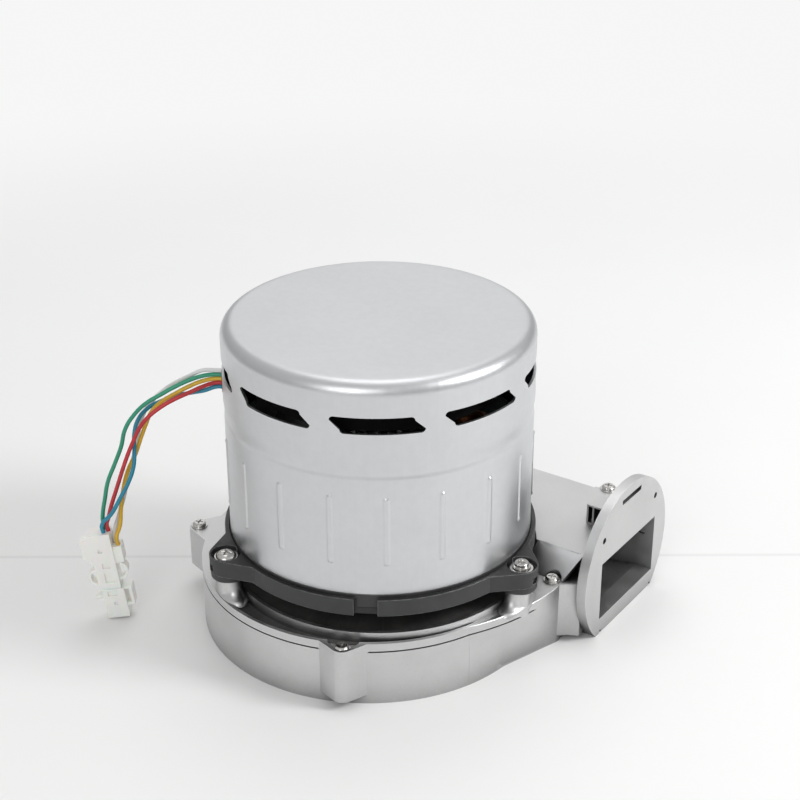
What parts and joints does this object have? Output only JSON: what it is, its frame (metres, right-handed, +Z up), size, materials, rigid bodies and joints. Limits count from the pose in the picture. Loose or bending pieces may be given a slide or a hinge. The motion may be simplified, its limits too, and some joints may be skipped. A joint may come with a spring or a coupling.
{
  "type": "dc blower fan",
  "caption": "Brushless blower: flat spiral die-cast housing with a side outlet flange, a vented drawn motor can on rubber-isolated lugs above it, and a coloured wire lead with connector",
  "frame": {"origin": "on the shaft axis, in the plane of the housing's flat base round the air inlet", "axes": "+Z runs up the shaft from the base to the top of the motor can, +X is the way the air leaves through the outlet flange, and +Y is the side of the shaft that the outlet duct lies on"},
  "size_m": [0.2266, 0.2047, 0.1646],
  "materials": {
    "cast_alu": "die-cast, fine satin",
    "turned_alu": "machined or stamped",
    "zinc_sheet": "deep-drawn zinc-plated sheet",
    "dark_cast": "black, fine satin",
    "dark_plate": "black, turned",
    "rubber": "moulded",
    "steel": "zinc-plated",
    "lamination": "stacked sheet",
    "magnet": "nickel-plated",
    "copper": "enamelled wire",
    "insulator": "moulded",
    "board": "green laminate",
    "dark_plastic": "moulded, glossy",
    "nylon": "natural nylon",
    "w_white": "wire sheath",
    "w_green": "wire sheath",
    "w_yellow": "wire sheath",
    "w_red": "wire sheath",
    "w_blue": "wire sheath"
  },
  "bodies": {
    "housing": {"volute_base": "cast_alu", "volute_cover": "cast_alu", "cover_gasket": "rubber", "cover_screws": "steel", "inlet_nozzle": "dark_cast", "motor_plate": "dark_plate", "shaft_seal": "rubber", "mount_ring": "dark_cast", "rubber_isolators": "rubber", "spacer_sleeves": "steel", "lug_washers": "steel", "lug_screws": "steel", "motor_frame": "dark_cast", "lower_bearing": "steel", "bearing_circlip": "steel", "stator_core": "lamination", "stator_insulators": "insulator", "stator_coils": "copper", "upper_bracket": "turned_alu", "bracket_screws": "steel", "upper_bearing": "steel", "wave_washer": "steel", "circuit_board": "board", "board_screws": "steel", "board_capacitors": "dark_plastic", "board_choke": "copper", "heat_sink": "turned_alu", "power_transistors": "dark_plastic", "board_header": "insulator", "inner_leads": "dark_plastic", "cable_grommet": "rubber", "motor_can": "zinc_sheet", "wire_white": "w_white", "wire_green": "w_green", "wire_yellow": "w_yellow", "wire_red": "w_red", "wire_blue": "w_blue", "plug_housing": "nylon", "socket_housing": "nylon"},
    "rotor": {"shaft": "steel", "rotor_core": "lamination", "rotor_magnets": "magnet", "cooling_fan": "dark_plastic", "fan_clip": "steel", "impeller_hub": "turned_alu", "impeller_backplate": "turned_alu", "impeller_blades": "turned_alu", "impeller_shroud": "turned_alu", "hub_rivets": "steel", "impeller_washer": "steel", "impeller_nut": "steel"}
  },
  "joints": [
    {"name": "rotor_spin", "type": "hinge", "parent": "housing", "child": "rotor", "pos_m": [0, 0, 0.075], "axis": [0, 0, 1], "continuous": true}
  ]
}
